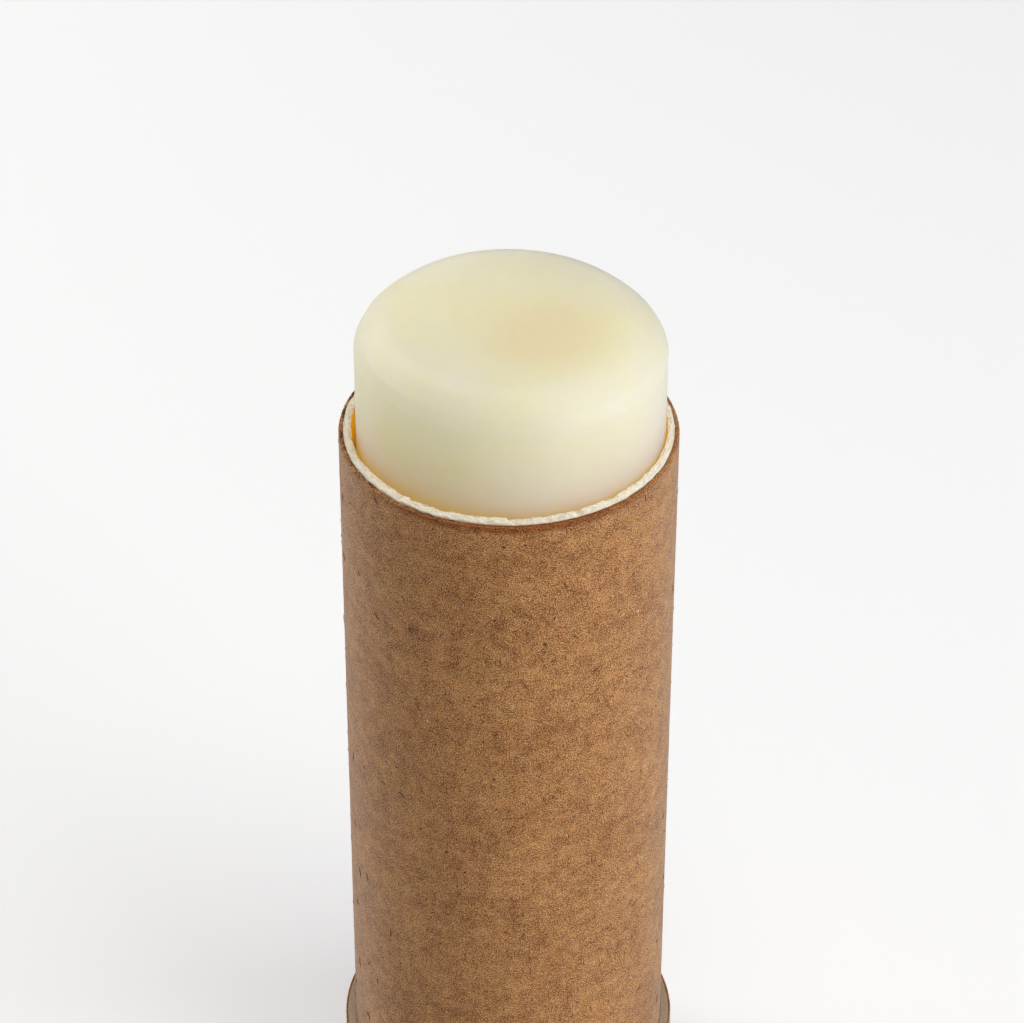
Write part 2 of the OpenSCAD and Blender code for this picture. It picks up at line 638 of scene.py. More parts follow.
@dataclass
class Surface:
    """A grid of points: rows along an outline, columns anticlockwise round the axis."""

    radius: np.ndarray
    height: np.ndarray
    closed_outline: bool = True
    shift: Tuple[float, float] = (0.0, 0.0)

    def points(self) -> np.ndarray:
        """Points from radius and height, moved by the shift.

        x is the radius times the cosine of the column's angle, and y the radius times its sine.

        Returns:
            Points, rows by columns by 3.
        """
        angles = ring_angles(self.radius.shape[1])[None, :]
        x = self.shift[0] + self.radius * np.cos(angles)
        y = self.shift[1] + self.radius * np.sin(angles)
        return np.stack([x, y, self.height], axis=2)

    def mesh(self, name: str) -> bpy.types.Mesh:
        """Build the mesh, with a UV map in millimetres.

        A closed outline is joined to itself. An open one starts and ends in a point on the axis.

        Args:
            name: the mesh's name.

        Returns:
            The mesh, faces outwards.
        """
        points = self.points()
        rows, cols = self.radius.shape
        lower = np.arange(rows if self.closed_outline else rows - 1)
        row, col = np.meshgrid(lower, np.arange(cols), indexing="ij")
        row, col = row.ravel(), col.ravel()
        upper = (row + 1) % rows
        right = (col + 1) % cols
        here, above = row * cols, upper * cols
        quads = np.stack([here + col, here + right, above + right, above + col], axis=1)
        spine = points.mean(axis=1)
        mean_radius = self.radius.mean(axis=1)
        steps = np.hypot(
            np.roll(mean_radius, -1) - mean_radius, np.roll(spine[:, 2], -1) - spine[:, 2]
        )
        along = np.concatenate([[0.0], np.cumsum(steps)])
        girth = TURN * float(mean_radius.max())
        left_u, right_u = col / cols * girth, (col + 1) / cols * girth
        low_v, high_v = along[row], along[row + 1]
        corners = np.stack([left_u, low_v, right_u, low_v, right_u, high_v, left_u, high_v], axis=1)
        corners = corners.reshape(-1, 4, 2)
        vertices = points.reshape(-1, 3)
        faces: List[Any] = quads.tolist()
        uv = corners.reshape(-1, 2)
        if not self.closed_outline:
            vertices, faces, uv = self._close_poles(points, quads, corners)
        mesh = smooth_mesh(name, vertices, faces)
        layer = mesh.uv_layers.new(name=UV_NAME)
        layer.data.foreach_set("uv", (uv / MM).astype(np.float32).ravel())
        return mesh

    def _close_poles(
        self, points: np.ndarray, quads: np.ndarray, corners: np.ndarray
    ) -> Tuple[np.ndarray, List[Any], np.ndarray]:
        """Turn the first and last rows, which lie on the axis, into one point each.

        Args:
            points: the grid of points.
            quads: faces as four point numbers.
            corners: UV of each face's corners.

        Returns:
            Points, faces and UV with triangles at both ends.
        """
        rows, cols = self.radius.shape
        last = (rows - 1) * cols
        vertices = points.reshape(-1, 3)
        kept = np.concatenate([[0], np.arange(cols, last), [last]])
        number = np.empty(len(vertices), dtype=int)
        number[:cols] = 0
        number[cols:last] = np.arange(1, last - cols + 1)
        number[last:] = last - cols + 1
        quads = number[quads]
        bottom, top = quads[:, 0] == quads[:, 1], quads[:, 2] == quads[:, 3]
        body = ~(bottom | top)
        groups = ((body, slice(None)), (bottom, slice(1, None)), (top, slice(3)))
        faces = [face for mask, part in groups for face in quads[mask][:, part].tolist()]
        uv = np.concatenate([corners[mask][:, part].reshape(-1, 2) for mask, part in groups])
        return vertices[kept], faces, uv


def add_piece(
    mesh: bpy.types.Mesh, body: Body, finish: Finish, node: Optional[str] = None
) -> None:
    """Put a mesh in the scene as a piece of the stick.

    Args:
        mesh: the piece's mesh, in place.
        body: the body that it rides on.
        finish: its look.
        node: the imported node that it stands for, if any.
    """
    piece = bpy.data.objects.new(mesh.name, mesh)
    bpy.context.scene.collection.objects.link(piece)
    mesh.materials.append(finish.build())
    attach(piece, body.value)
    if node:
        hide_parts(node)
    log.info("%s: %d faces on %s", piece.name, len(mesh.polygons), body.value)


def smooth_rows(ends: Sequence[Tuple[float, float]], counts: Sequence[int]) -> np.ndarray:
    """Points along straight stretches of an outline.

    Args:
        ends: the outline's corners, as radius and height.
        counts: steps on each stretch.

    Returns:
        Points, the last corner left out.
    """
    stretches = []
    for start, end, count in zip(ends[:-1], ends[1:], counts):
        part = np.linspace(0.0, 1.0, count, endpoint=False)[:, None]
        stretches.append(np.array(start) + part * (np.array(end) - np.array(start)))
    return np.concatenate(stretches)


def arc_rows(
    centre: Tuple[float, float], radius: float, start: float, end: float, count: int
) -> np.ndarray:
    """Points along an arc of an outline, both ends among them."""
    angle = np.radians(np.linspace(start, end, count))
    return np.stack([centre[0] + radius * np.cos(angle), centre[1] + radius * np.sin(angle)], axis=1)


def tile(outline: np.ndarray, columns: int) -> Tuple[np.ndarray, np.ndarray]:
    """Radius and height grids that carry one outline round the axis."""
    return np.repeat(outline[:, :1], columns, axis=1), np.repeat(outline[:, 1:], columns, axis=1)


# Places of single marks

# Where the board's edge has broken away: degrees from the camera's side towards the right, half width
# in degrees and depth in millimetres, where a negative depth leaves a tab standing
BROKEN_PLACES = (
    (-9.4, 1.2, -0.1),
    (-3.0, 2.6, -0.12),
    (1.6, 1.6, 0.17),
    (5.5, 1.6, 0.1),
    (13.0, 1.2, 0.1),
    (24.5, 1.0, 0.2),
    (38.0, 2.0, 0.08),
    (-24.0, 2.2, 0.1),
    (-41.0, 1.5, 0.12),
    (-70.0, 3.0, 0.1),
    (66.0, 2.5, 0.1),
)
# Fibres listed one by one: degrees from the camera's side towards the right, millimetres under the
# rim, heading in degrees, length and total bend in radians
PALE_PLACES = (
    (-30.3, 2.4, -39.0, 1.2, 1.0),
    (-42.4, 1.3, -69.0, 0.6, 1.0),
    (-22.9, 1.2, -79.0, 0.45, 0.3),
    (5.5, 6.2, 30.0, 0.35, 0.0),
    (24.2, 5.8, -40.0, 0.4, 0.5),
    (46.0, 8.9, 15.0, 0.7, 1.0),
    (47.0, 9.3, 100.0, 0.6, 0.7),
)
DARK_PLACES = (
    (18.3, 6.3, -72.0, 1.3, 0.5),
    (3.6, 16.9, -63.0, 2.4, 0.35),
    (-10.2, 23.0, -100.0, 1.7, -0.9),
    (6.8, 8.6, 47.0, 0.5, 0.2),
    (29.5, 18.2, 22.0, 0.8, 0.6),
    (-4.4, 4.6, -17.0, 0.6, 0.3),
    (5.6, 12.5, 62.0, 0.7, 0.2),
    (-10.9, 18.2, 49.0, 0.7, 0.4),
)


@dataclass(frozen=True)
class FibreFinish(Finish):
    """A single paper fibre: one tone, a little lighter and darker along the wall."""

    colour: Colour
    darkest: float = 0.6

    def _paint(self, graph: ShaderGraph) -> None:
        """Fill the material's graph.

        Args:
            graph: the material's empty node tree.
        """
        coords = graph.add("ShaderNodeTexCoord", output="Object")
        varied = graph.noise(coords, 1500.0, 1.0, 0.5).step(0.3, 0.7)
        darker = [part * self.darkest for part in self.colour]
        colour = graph.mix(varied, darker, self.colour)
        graph.finish(Base_Color=colour, Roughness=0.55, Specular_IOR_Level=0.5)


@dataclass(frozen=True)
class FibreLayer:
    """Single fibres lying on the tube's wall, as thin three-sided strands with narrow ends."""

    name: str
    seed: int
    count: int
    lengths: Tuple[float, float]
    thickness: float
    placed: Sequence[Tuple[float, float, float, float, float]]
    usual_bend: float = 0.8
    steps: int = 7

    def mesh(self, wall: float, span: Tuple[float, float]) -> bpy.types.Mesh:
        """Lay the fibres on the wall.

        Each fibre's heading turns evenly along its length. Its path is the running sum of short steps
        in that heading, on the unrolled wall.

        Args:
            wall: radius of the wall.
            span: lowest and highest place of the scattered fibres.

        Returns:
            One mesh with all of the layer's fibres.
        """
        rng = np.random.default_rng(self.seed)
        scattered = [
            rng.uniform(low, high, self.count)
            for low, high in ((0.0, TURN), span, (0.0, TURN), self.lengths)
        ]
        scattered.append(rng.normal(0.0, self.usual_bend, self.count))
        angle, drop, heading, length, bend = np.array(self.placed).T
        rim = span[1] + RIM_MARGIN
        picked = [np.radians(angle - 90.0), rim - drop * MM, np.radians(heading), length * MM, bend]
        fibres = np.concatenate([picked, scattered], axis=1)
        angle, height, heading, length, bend = fibres[:, :, None]
        part = np.linspace(-0.5, 0.5, self.steps)[None, :]
        course = heading + bend * part
        along = np.cumsum(np.cos(course), axis=1) * length / self.steps
        rise = np.cumsum(np.sin(course), axis=1) * length / self.steps
        taper = self.thickness * (1.0 - 3.2 * part ** 2)
        corner = np.radians([90.0, 210.0, 330.0])[None, None, :]
        sideways = np.cos(corner) * taper[..., None]
        around = (along[..., None] - np.sin(course)[..., None] * sideways) / wall + angle[..., None]
        up = height[..., None] + rise[..., None] + np.cos(course)[..., None] * sideways
        outward = wall + np.sin(corner) * taper[..., None] + 0.0 * around
        points = np.stack([outward * np.cos(around), outward * np.sin(around), up], axis=3)
        return self._skin(points.reshape(-1, 3))

    def _skin(self, points: np.ndarray) -> bpy.types.Mesh:
        """Join each fibre's rings of three corners by quads, and close its ends by triangles.

        Args:
            points: each fibre's corners in turn, three to a ring.

        Returns:
            The layer's mesh.
        """
        fibres = len(points) // (3 * self.steps)
        first = np.arange(fibres)[:, None, None] * 3 * self.steps
        ring = np.arange(self.steps - 1)[None, :, None] * 3
        side = np.arange(3)[None, None, :]
        here = first + ring + side
        beside = first + ring + (side + 1) % 3
        quads = np.stack([here, beside, beside + 3, here + 3], axis=3).reshape(-1, 4)
        starts = first[:, 0] + np.array([2, 1, 0])
        ends = first[:, 0] + 3 * (self.steps - 1) + np.array([0, 1, 2])
        return smooth_mesh(self.name, points, quads.tolist() + starts.tolist() + ends.tolist())


# Sub-assemblies

@dataclass
class WoundTube:
    """The three plies of the tube: kraft, torn white board and greaseproof."""

    wrap_radius: float
    rim: float
    core_outer: float
    core_inner: float
    bore: float
    core_top: float
    collar_top: float
    foot_radius: float
    columns: int = 1040
    torn_columns: int = 2000
    plain_columns: int = 720
    arris: float = 0.2 * MM
    neck: float = 0.2 * MM
    liner_thickness: float = 0.1 * MM
    core_torn: float = 0.26 * MM
    core_level: float = 0.2 * MM
    fibre_lift: float = 0.01 * MM

    @classmethod
    def from_frame(cls) -> "WoundTube":
        """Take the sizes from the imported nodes.

        Returns:
            The tube.
        """
        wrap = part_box("kraft_wrap")[1]
        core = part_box("board_core")[1]
        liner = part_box("greaseproof_liner")[1]
        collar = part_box("base_collar")[1]
        return cls(
            wrap_radius=wrap.x,
            rim=wrap.z,
            core_outer=core.x,
            core_inner=liner.x,
            bore=liner.x - cls.liner_thickness,
            core_top=core.z,
            collar_top=collar.z,
            foot_radius=wrap.x - cls.neck,
        )

    def build(self, kraft: KraftFinish, white: BoardFinish, liner: LinerFinish) -> None:
        """Make the three plies and the loose fibres on the kraft.

        Args:
            kraft: look of the outer plies.
            white: look of the core.
            liner: look of the inner ply.
        """
        add_piece(self._kraft(), Body.TUBE, kraft, "kraft_wrap")
        add_piece(self._core(), Body.TUBE, white, "board_core")
        add_piece(self._liner(), Body.TUBE, liner, "greaseproof_liner")
        wall = self.wrap_radius + self.fibre_lift
        span = (self.collar_top + 1.0 * MM, self.rim - RIM_MARGIN)
        pale = FibreLayer("pale_fibres", 71, 420, (0.25 * MM, 0.9 * MM), 0.03 * MM, PALE_PLACES)
        dark = FibreLayer("dark_fibres", 72, 190, (0.4 * MM, 1.5 * MM), 0.036 * MM, DARK_PLACES)
        for fibres, colour in ((pale, (0.8, 0.6, 0.4)), (dark, (0.1, 0.035, 0.012))):
            look = FibreFinish(fibres.name, colour)
            add_piece(fibres.mesh(wall, span), Body.TUBE, look)

    def _kraft(self) -> bpy.types.Mesh:
        """Kraft plies: a straight wall, a soft outer arris and a ragged crack against the core.

        The wall's radius varies by hundredths of a millimetre, and the top face's inner edge falls away
        in a groove whose depth varies round the rim.

        Returns:
            The outer plies' mesh.
        """
        outer = self.wrap_radius
        crown = arc_rows((outer - self.arris, self.rim - self.arris), self.arris, 0.0, 90.0, 7)
        wall = smooth_rows(
            [
                (self.core_outer, 0.0),
                (self.foot_radius, 0.0),
                (self.foot_radius, self.collar_top),
                (outer, self.collar_top),
                (outer, self.rim - 2.0 * MM),
                (outer, self.rim - self.arris),
            ],
            [1, 2, 1, 66, 6],
        )
        face = smooth_rows(
            [
                (outer - self.arris, self.rim),
                (self.core_outer + 0.14 * MM, self.rim - 0.02 * MM),
                (self.core_outer, self.rim - 0.25 * MM),
                (self.core_outer, 0.0),
            ],
            [5, 4, 3],
        )
        radius, height = tile(np.concatenate([wall, crown, face[1:]]), self.columns)
        rows = len(radius)
        # The face's last slope, in four rows, and its foot
        groove = slice(rows - 7, rows - 2)
        height[groove] = self.rim + (height[groove] - self.rim) * self._groove()[None, :]
        uneven = layered_noise(radius.shape, (11, (9, 9), 0.012), (12, (60, 160), 0.008))
        on_wall = (height > self.collar_top + 0.5 * MM) & (radius > outer - 0.05 * MM)
        radius = radius + np.where(on_wall, uneven - 0.02 * MM, 0.0)
        # The crown, the level face and half of its slope
        crown_rows = slice(len(wall), len(wall) + len(crown) + 6)
        wear = layered_noise(radius.shape, (13, (6, 420), 0.05), (14, (6, 70), 0.05))
        height[crown_rows] = np.minimum(height[crown_rows] + wear[crown_rows] - 0.05 * MM, self.rim)
        return Surface(radius, height).mesh("kraft_plies")

    def _groove(self) -> np.ndarray:
        """Share of the groove's full depth at each column: most at the left, least in front.

        Returns:
            Shares, round the ring.
        """
        degrees = camera_degrees(self.columns)
        left = np.clip(1.3 - np.abs(degrees + 68.0) / 45.0, 0.0, 1.0)
        right = np.clip(np.abs(degrees) / 60.0 - 0.3, 0.0, 0.5)
        broken = np.clip(0.4 + ring_noise(15, 130, self.columns) * 1.3, 0.0, 1.2)
        return 0.06 + np.maximum(left, right) * broken

    def _core(self) -> bpy.types.Mesh:
        """White board core, torn where the tube was cut.

        The torn face slopes from a level strip at its inner edge down to the kraft. Its height there is
        the core's top less noise in four sizes, and some short stretches of its inner edge stand up
        in tabs or have broken away.

        Returns:
            The core's mesh.
        """
        edge_outer = (self.core_outer, self.rim + self.core_torn)
        edge_level = (self.core_inner + self.core_level, self.core_top)
        edge_inner = (self.core_inner, self.core_top)
        below = self.rim - 0.6 * MM
        foot = [(self.core_inner, 0.0), (self.core_outer, 0.0)]
        wall = smooth_rows([*foot, (self.core_outer, below), edge_outer], [1, 2, 5])
        face = smooth_rows([edge_outer, edge_level, edge_inner], [14, 8])
        inner = smooth_rows([edge_inner, (self.core_inner, below), (self.core_inner, 0.0)], [10, 2])
        columns = self.torn_columns
        radius, height = tile(np.concatenate([wall, face, inner]), columns)
        shape = radius.shape
        amount = np.clip((height - below) / (self.core_top - below), 0.0, 1.0)
        torn = layered_noise(shape, (21, (3, 46), 0.05), (22, (12, 240), 0.1), (23, (30, 900), 0.07))
        flakes = np.maximum(lattice_noise(26, (8, 150), shape) - 0.35, 0.0) * 0.35
        drop = torn - (flakes + 0.1) * MM
        torn_height = height + (drop - self._broken_edge(columns)[None, :]) * amount
        height = np.minimum(torn_height, self.core_top)
        frayed = layered_noise(shape, (24, (16, 700), 0.035), (25, (6, 160), 0.045))
        radius = radius + frayed * amount ** 2
        radius = np.clip(radius, self.core_inner - 0.06 * MM, self.core_outer + 0.05 * MM)
        over_liner = np.clip((height - self.rim - 0.16 * MM) / (0.1 * MM), 0.0, 1.0)
        inside = radius < self.core_inner + 0.5 * self.core_level
        radius = radius - np.where(inside, over_liner * self._lip(columns)[None, :], 0.0)
        return Surface(radius, height).mesh("torn_white_core")

    def _lip(self, columns: int) -> np.ndarray:
        """How far the core's inner edge is pressed inwards over the liner, most at the left."""
        degrees = camera_degrees(columns)
        return 0.13 * MM * np.clip(1.6 - np.abs(degrees + 88.0) / 35.0, 0.0, 1.0)

    def _broken_edge(self, columns: int) -> np.ndarray:
        """How far the core's edge has broken away in a few places, round the ring.

        Args:
            columns: number of columns round the ring.

        Returns:
            Depth at each column.
        """
        degrees = camera_degrees(columns)
        depth = np.zeros(columns)
        for angle, half_width, amount in BROKEN_PLACES:
            away = np.abs((degrees - angle + 180.0) % 360.0 - 180.0) / half_width
            depth += amount * MM * np.clip(1.6 - away, 0.0, 1.0)
        return depth

    def _liner(self) -> bpy.types.Mesh:
        """Greaseproof ply inside the core, with a slightly wavy cut edge.

        Returns:
            The liner's mesh.
        """
        top = self.rim + 0.12 * MM
        outline = smooth_rows(
            [
                (self.bore, 0.0),
                (self.core_inner, 0.0),
                (self.core_inner, self.rim - 1.0 * MM),
                (self.core_inner, top),
                (self.bore, top),
                (self.bore, self.rim - 1.0 * MM),
                (self.bore, 0.0),
            ],
            [1, 3, 4, 2, 4, 3],
        )
        radius, height = tile(outline, self.plain_columns)
        wave = ring_noise(31, 150, self.plain_columns)[None, :] * 0.03 * MM
        height = height + np.where(height > self.rim - 0.2 * MM, wave, 0.0)
        return Surface(radius, height).mesh("amber_liner")


@dataclass
class BaseCollar:
    """The board collar round the foot, with its kraft ply."""

    inner: float
    board_outer: float
    wrap_outer: float
    top: float
    bevel: float = 0.2 * MM
    glue_gap: float = 0.05 * MM
    columns: int = 720

    @classmethod
    def from_frame(cls, tube: WoundTube) -> "BaseCollar":
        """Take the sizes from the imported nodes.

        Args:
            tube: the tube that it stands round.

        Returns:
            The collar.
        """
        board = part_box("base_collar")[1]
        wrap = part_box("collar_wrap")[1]
        return cls(tube.foot_radius + cls.glue_gap, board.x, wrap.x, board.z)

    def build(self, kraft: KraftFinish, grey: BoardFinish) -> None:
        """Make the collar's board and its ply."""
        add_piece(self._board(), Body.TUBE, grey, "base_collar")
        add_piece(self._wrap(), Body.TUBE, kraft, "collar_wrap")

    def _board(self) -> bpy.types.Mesh:
        """Board ring with a bevel inside its top edge and a slightly uneven cut face.

        Returns:
            The board's mesh.
        """
        outline = smooth_rows(
            [
                (self.inner, 0.0),
                (self.board_outer, 0.0),
                (self.board_outer, self.top - 0.05 * MM),
                (self.board_outer - 0.05 * MM, self.top),
                (self.inner + self.bevel, self.top),
                (self.inner, self.top - self.bevel),
                (self.inner, 0.0),
            ],
            [3, 6, 2, 8, 3, 3],
        )
        radius, height = tile(outline, self.columns)
        cut = layered_noise(radius.shape, (41, (10, 240), 0.02))
        at_top = height > self.top - 0.06 * MM
        height = np.where(at_top, np.minimum(height + cut - 0.02 * MM, self.top), height)
        return Surface(radius, height).mesh("collar_board")

    def _wrap(self) -> bpy.types.Mesh:
        """Kraft ply with a softened top edge.

        Returns:
            The ply's mesh.
        """
        soft = 0.08 * MM
        crown = arc_rows((self.wrap_outer - soft, self.top - soft), soft, 0.0, 90.0, 5)
        foot = [(self.board_outer, 0.0), (self.wrap_outer, 0.0)]
        wall = smooth_rows([*foot, (self.wrap_outer, self.top - soft)], [2, 16])
        inner = np.array([[self.board_outer, self.top]])
        radius, height = tile(np.concatenate([wall, crown, inner]), self.columns)
        sway = layered_noise(radius.shape, (42, (3, 12), 0.01)) - 0.01 * MM
        radius = np.where(radius > self.wrap_outer - 0.01 * MM, radius + sway, radius)
        return Surface(radius, height).mesh("collar_kraft")


@dataclass
class PushUp:
    """The sliding ring and the disc pressed into it, under the balm."""

    ring_outer: float
    ring_inner: float
    ring_low: float
    ring_top: float
    disc_low: float
    thickness: float = 0.7 * MM
    bend: float = 1.1 * MM
    ring_columns: int = 720
    disc_columns: int = 480

    @classmethod
    def from_frame(cls) -> "PushUp":
        """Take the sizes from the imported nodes.

        Returns:
            The push-up base.
        """
        ring_low, ring_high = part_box("push_ring")
        disc_low, disc_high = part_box("push_disc")
        return cls(ring_high.x, disc_high.x, ring_low.z, ring_high.z, disc_low.z)

    def build(self, grey: BoardFinish, kraft: KraftFinish) -> None:
        """Make the ring and the disc."""
        add_piece(self._ring(), Body.PUSH_UP, grey, "push_ring")
        add_piece(self._disc(), Body.PUSH_UP, kraft, "push_disc")

    def _ring(self) -> bpy.types.Mesh:
        """Board ring with lightly broken edges and an uneven lower cut.

        Returns:
            The ring's mesh.
        """
        soft = 0.1 * MM
        outline = smooth_rows(
            [
                (self.ring_inner, self.ring_low + soft),
                (self.ring_inner + soft, self.ring_low),
                (self.ring_outer - soft, self.ring_low),
                (self.ring_outer, self.ring_low + soft),
                (self.ring_outer, self.ring_top),
                (self.ring_inner, self.ring_top),
                (self.ring_inner, self.ring_low + soft),
            ],
            [2, 10, 2, 8, 1, 8],
        )
        radius, height = tile(outline, self.ring_columns)
        cut = layered_noise(radius.shape, (51, (12, 200), 0.03)) + 0.03 * MM
        height = np.where(height < self.ring_low + soft, height + cut, height)
        return Surface(radius, height).mesh("sliding_ring")

    def _disc(self) -> bpy.types.Mesh:
        """Shallow pressed cup, open downwards.

        Its outline runs from the axis under the plate, down the skirt's inside, round its cut edge, up
        outside, and over the bend to the axis on top.

        Returns:
            The disc's mesh.
        """
        outer = self.ring_inner
        inner_bend = self.bend - self.thickness
        centre = (outer - self.bend, self.ring_top - self.bend)
        plate_low = self.ring_top - self.thickness
        under = smooth_rows([(0.0, plate_low), (centre[0], plate_low)], [24])
        inside = arc_rows(centre, inner_bend, 90.0, 0.0, 6)
        skirt = smooth_rows(
            [
                (outer - self.thickness, centre[1]),
                (outer - self.thickness, self.disc_low),
                (outer, self.disc_low),
                (outer, centre[1]),
            ],
            [8, 3, 8],
        )
        outside = arc_rows(centre, self.bend, 0.0, 90.0, 8)
        over = smooth_rows([(centre[0], self.ring_top), (0.0, self.ring_top)], [6])
        end = np.array([[0.0, self.ring_top]])
        outline = np.concatenate([under, inside, skirt[1:], outside, over[1:], end])
        radius, height = tile(outline, self.disc_columns)
        warp = layered_noise(radius.shape, (52, (8, 10), 0.03))
        flat = (height < self.ring_top - 0.5 * self.thickness) & (radius < centre[0]) & (radius > 0.0)
        height = height + np.where(flat, np.minimum(warp, 0.0), 0.0)
        return Surface(radius, height, closed_outline=False).mesh("pressed_disc")


@dataclass
class BalmStick:
    """The poured stick of balm, raised out of the tube."""

    radius: float
    centre: Tuple[float, float]
    base: float
    top: float
    edge_width: float = 3.4 * MM
    edge_height: float = 3.3 * MM
    edge_power: float = 1.55
    hollow: float = 0.8 * MM
    crease: float = 0.82
    lean: float = math.radians(0.9)
    columns: int = 480

    @classmethod
    def from_frame(cls) -> "BalmStick":
        """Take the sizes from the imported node.

        Returns:
            The stick.
        """
        low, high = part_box("balm")
        radius = 0.5 * (high.y - low.y)
        crest_rise = (radius - cls.edge_width) * math.sin(cls.lean)
        return cls(radius, (0.5 * (low.x + high.x), 0.0), low.z, high.z - crest_rise)

    def build(self, balm: BalmFinish) -> None:
        """Make the stick."""
        add_piece(self._stick(), Body.PUSH_UP, balm, "balm")

    def _outline(self) -> np.ndarray:
        """Outline from the axis at the base to the axis at the top.

        The soft edge follows h = H * (1 - u ** p) ** (1 / p) from the crest, u = 0, to the side, u = 1,
        drawn partly towards two straight stretches that meet in a faint crease.
        The hollow lies under the crest by its depth times (1 - v * v) ** 2, v from the axis out.

        Returns:
            Radius and height of each point.
        """
        crest = self.radius - self.edge_width
        shoulder = self.top - self.edge_height
        side = smooth_rows(
            [
                (0.0, self.base),
                (self.radius - 0.2 * MM, self.base),
                (self.radius, self.base + 0.2 * MM),
                (self.radius, shoulder - 12.0 * MM),
                (self.radius, shoulder),
            ],
            [12, 2, 30, 30],
        )
        part = np.sin(np.linspace(math.pi / 2.0, 0.0, 40))
        rise = np.clip(1.0 - part ** self.edge_power, 0.0, 1.0) ** (1.0 / self.edge_power)
        corners = np.array([0.0, 0.4, self.crease, 0.985, 1.0])
        flat = np.interp(part, corners, np.interp(corners, part[::-1], rise[::-1]))
        rise = np.where(part > 0.4, 0.3 * rise + 0.7 * flat, rise)
        edge = np.stack([crest + part * self.edge_width, shoulder + rise * self.edge_height], axis=1)
        inward = np.linspace(1.0, 0.0, 40)[1:]
        dip = self.hollow * (1.0 - inward ** 2) ** 2
        dish = np.stack([inward * crest, self.top - dip], axis=1)
        return np.concatenate([side, edge, dish])

    def _stick(self) -> bpy.types.Mesh:
        """Stick with a leaning head and a slightly uneven skin.

        The head's points sink by x times the tangent of the lean, fading out down the side.

        Returns:
            The stick's mesh.
        """
        radius, height = tile(self._outline(), self.columns)
        rows = len(radius)
        skin = layered_noise(radius.shape, (61, (9, 14), 0.01), (62, (40, 60), 0.004))
        on_side = (radius > self.radius - 1e-9) & (height > self.base + 1.0 * MM)
        radius = radius + np.where(on_side, skin - 0.012 * MM, 0.0)
        x = radius * np.cos(ring_angles(self.columns))[None, :]
        head = np.clip((height - self.top + 9.0 * MM) / (5.6 * MM), 0.0, 1.0)
        height = height - x * math.tan(self.lean) * head
        waves = layered_noise(radius.shape, (63, (rows // 12, 9), 0.02))
        near_axis = np.clip(radius / (3.0 * MM), 0.0, 1.0)
        height = height + np.where(head >= 1.0, (waves - 0.02 * MM) * near_axis, 0.0)
        return Surface(radius, height, closed_outline=False, shift=self.centre).mesh("balm_stick")


# Studio

@dataclass(frozen=True)
class Lamp:
    """A square lamp that faces the top of the tube.

    Its azimuth is 0 at the camera's side and 90 at the right, its power is in watts, and its size
    and distance are in metres.
    """

    name: str
    azimuth: float
    elevation: float
    size: float
    power: float
    colour: Colour
    distance: float = 0.8

    def build(self, target: Vector) -> None:
        """Add the lamp, at its distance from the target and facing it.

        Args:
            target: the point that it faces.
        """
        data = bpy.data.lights.new(self.name, "AREA")
        data.color = self.colour
        data.size = self.size
        data.energy = self.power
        lamp = bpy.data.objects.new(self.name, data)
        bpy.context.scene.collection.objects.link(lamp)
        turn, lift = math.radians(self.azimuth), math.radians(self.elevation)
        level = math.cos(lift)
        away = Vector((math.sin(turn) * level, -math.cos(turn) * level, math.sin(lift)))
        lamp.location = target + away * self.distance
        lamp.rotation_euler = away.to_track_quat("Z", "Y").to_euler()


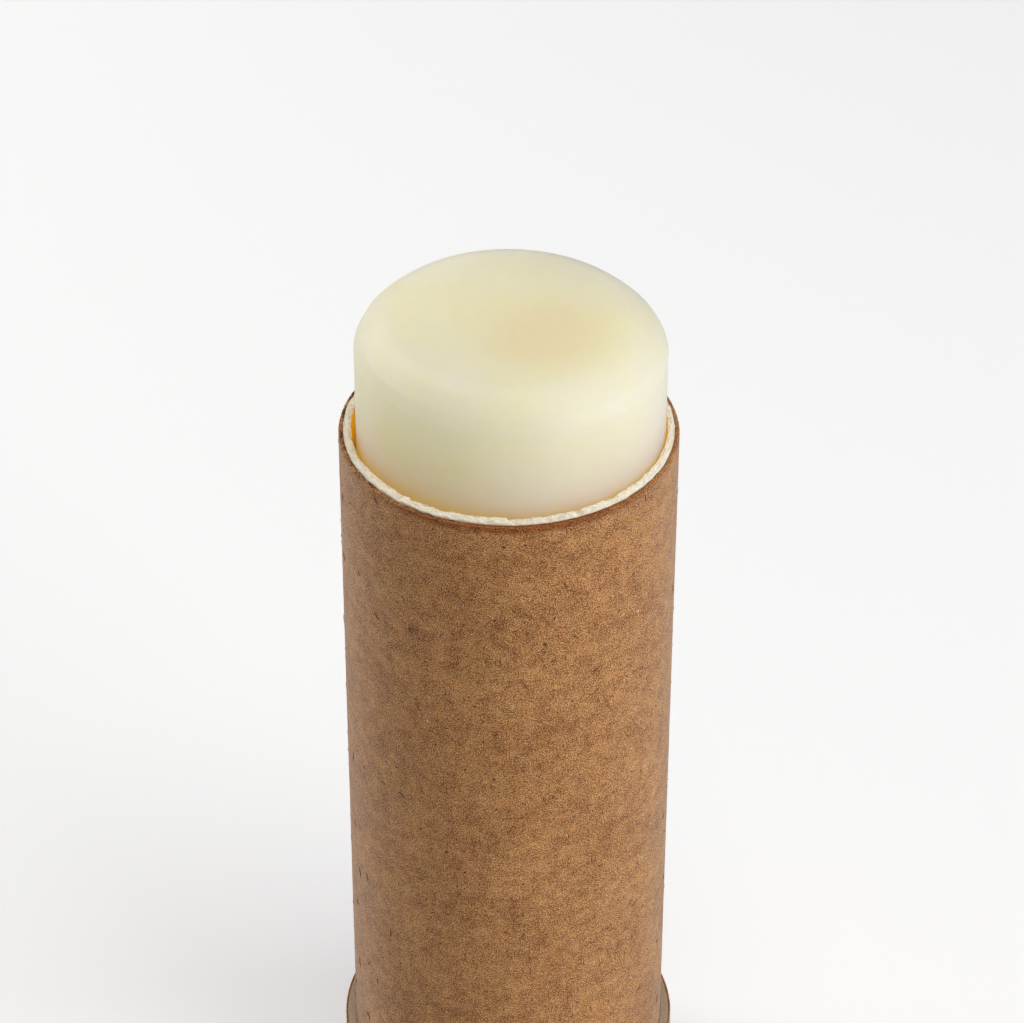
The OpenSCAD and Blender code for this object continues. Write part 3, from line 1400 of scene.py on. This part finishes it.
@dataclass
class Studio:
    """Pale floor, soft lights and the camera at the photograph's view."""

    rim: float
    camera_offset: Vector = field(default_factory=lambda: Vector((0.000304, -0.2848, 0.1999)))
    pitch: float = math.radians(36.37)
    roll: float = math.radians(0.104)
    focal_pixels: float = 3716.0
    image_width: float = 1024.0
    sensor: float = 36.0
    floor_colour: Colour = (0.86, 0.86, 0.86)
    backdrop: Colour = (0.93, 0.93, 0.925)
    glow_colour: Colour = (0.84, 0.9, 1.0)
    shadow_share: float = 0.9
    floor_glow: float = 0.345
    ambient: float = 0.025
    ambient_colour: Colour = (1.0, 0.88, 0.7)

    def build(self) -> None:
        """Make the camera, the floor and the lights."""
        self._camera()
        self._floor()
        self._world()
        self._lights()
        bpy.context.scene.view_settings.view_transform = "Standard"

    def _camera(self) -> None:
        """Camera at the place fitted to the tube's outlines, looking along +Y and down."""
        data = bpy.data.cameras.new("camera")
        data.sensor_fit = "HORIZONTAL"
        data.sensor_width = self.sensor
        data.lens = self.focal_pixels / self.image_width * self.sensor
        data.clip_start = 0.01
        camera = bpy.data.objects.new("camera", data)
        bpy.context.scene.collection.objects.link(camera)
        camera.location = Vector((0.0, 0.0, self.rim)) + self.camera_offset
        view = Vector((0.0, math.cos(self.pitch), -math.sin(self.pitch)))
        turn = view.to_track_quat("-Z", "Y") @ Quaternion((0.0, 0.0, 1.0), self.roll)
        camera.rotation_euler = turn.to_euler()
        bpy.context.scene.camera = camera

    def _floor(self) -> None:
        """Large pale floor that keeps a soft shadow and shows near white."""
        half = 3.0
        mesh = bpy.data.meshes.new("floor")
        corners = [(-half, -half, 0.0), (half, -half, 0.0), (half, half, 0.0), (-half, half, 0.0)]
        mesh.from_pydata(corners, [], [(0, 1, 2, 3)])
        floor = bpy.data.objects.new("floor", mesh)
        bpy.context.scene.collection.objects.link(floor)
        material = bpy.data.materials.new("floor_paper")
        graph = ShaderGraph(material)
        seen = graph.add("ShaderNodeLightPath", output="Is Camera Ray")
        paper = graph.add("ShaderNodeBsdfDiffuse", {}, {"Color": self.floor_colour})
        inputs = {"Color": self.glow_colour, "Strength": self.floor_glow}
        glow = graph.add("ShaderNodeEmission", {}, inputs)
        shaded = [part * self.shadow_share for part in self.floor_colour]
        shade = graph.add("ShaderNodeBsdfDiffuse", {}, {"Color": shaded})
        both = graph.add("ShaderNodeAddShader", {}, {0: shade, 1: glow})
        whole = graph.add("ShaderNodeMixShader", {}, {0: seen, 1: paper, 2: both})
        graph.add("ShaderNodeOutputMaterial", {}, {"Surface": whole}, None)
        mesh.materials.append(material)

    def _world(self) -> None:
        """Even surroundings: near white to the camera, dim as a light."""
        world = bpy.data.worlds.new("surroundings")
        bpy.context.scene.world = world
        graph = ShaderGraph(world)
        seen = graph.add("ShaderNodeLightPath", output="Is Camera Ray")
        dim = {"Color": self.ambient_colour, "Strength": self.ambient}
        light = graph.add("ShaderNodeBackground", {}, dim)
        backdrop = graph.add("ShaderNodeBackground", {}, {"Color": self.backdrop, "Strength": 1.0})
        whole = graph.add("ShaderNodeMixShader", {}, {0: seen, 1: light, 2: backdrop})
        graph.add("ShaderNodeOutputWorld", {}, {"Surface": whole}, None)

    def _lights(self) -> None:
        """Soft window light from the right, a weaker one from behind at the left, and one above."""
        for lamp in (
            Lamp("window", 63.0, 16.0, 0.8, 5.3, (1.0, 1.0, 1.0)),
            Lamp("bounce", -122.0, 30.0, 0.6, 4.3, (1.0, 0.97, 0.92)),
            Lamp("ceiling", 26.0, 74.0, 0.5, 2.8, (1.0, 0.95, 0.86)),
        ):
            lamp.build(Vector((0.0, 0.0, self.rim)))


def main() -> None:
    """Build the stick and its studio."""
    logging.basicConfig(level=logging.INFO, format="%(name)s: %(message)s")
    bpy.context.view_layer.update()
    tube = WoundTube.from_frame()
    collar = BaseCollar.from_frame(tube)
    push_up = PushUp.from_frame()
    stick = BalmStick.from_frame()
    Studio(rim=tube.rim).build()
    kraft = KraftFinish("kraft_paper")
    rim_kraft = KraftFinish("kraft_paper_rim", rim_height=tube.rim)
    grey = BoardFinish(
        "grey_board", base=(0.56, 0.46, 0.35), fibre=(0.44, 0.35, 0.26), stain=(0.4, 0.3, 0.2)
    )
    white = BoardFinish(
        "white_board",
        base=(0.94, 0.89, 0.77),
        fibre=(0.9, 0.84, 0.69),
        stain=(0.8, 0.62, 0.3),
        softness=0.9,
    )
    tube.build(rim_kraft, white, LinerFinish("oiled_greaseproof", tube.rim))
    collar.build(kraft, grey)
    push_up.build(grey, kraft)
    stick.build(BalmFinish("waxy_balm"))


if __name__ == "__main__":
    main()
